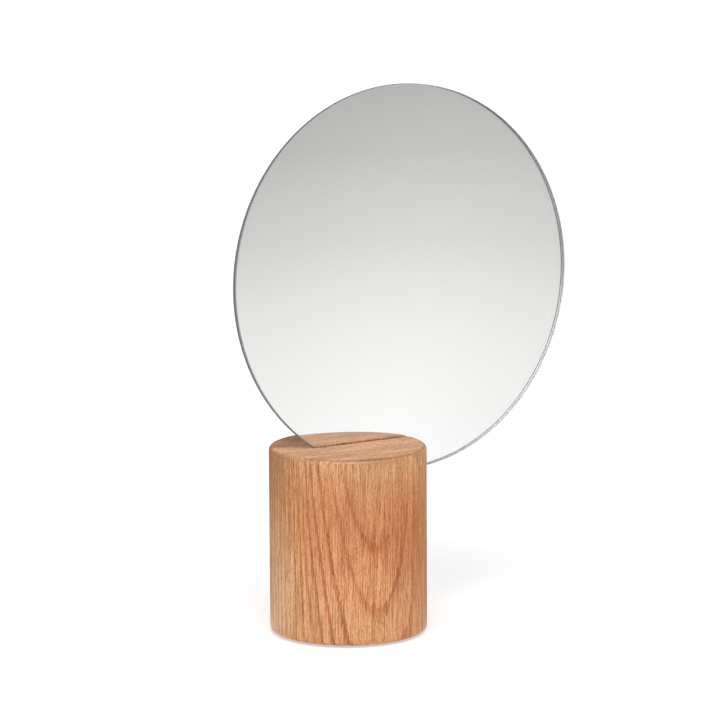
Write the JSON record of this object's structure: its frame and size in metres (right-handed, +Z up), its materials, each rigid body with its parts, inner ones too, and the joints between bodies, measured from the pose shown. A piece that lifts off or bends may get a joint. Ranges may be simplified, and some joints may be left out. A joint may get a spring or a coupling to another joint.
{
  "type": "table mirror",
  "caption": "Frameless round table mirror: a silvered glass disc stands, leaning slightly back, in a slot across the top of a solid oak cylinder and lifts out by hand.",
  "frame": {"origin": "centre of the underside, on the table, on the axis of the round base", "axes": "+Z up along the base's axis, -Y the way the mirror faces, +X along the slot towards the side where the glass overhangs"},
  "size_m": [0.2, 0.081, 0.2798],
  "materials": {
    "oak": "oiled oak, satin",
    "felt": "pressed felt, matt",
    "glass": "clear float glass, polished edge",
    "silver": "mirror silvering",
    "back_paint": "grey protective paint film, satin"
  },
  "bodies": {
    "base": {"oak_base": "oak", "felt_pad": "felt"},
    "mirror": {"mirror_glass": "glass", "silver_coat": "silver", "back_paint": "back_paint"}
  },
  "joints": [
    {"name": "mirror_lift", "type": "slide", "parent": "base", "child": "mirror", "axis": [0, 0.0323, 0.9995], "range_m": [0, 0.03]}
  ]
}
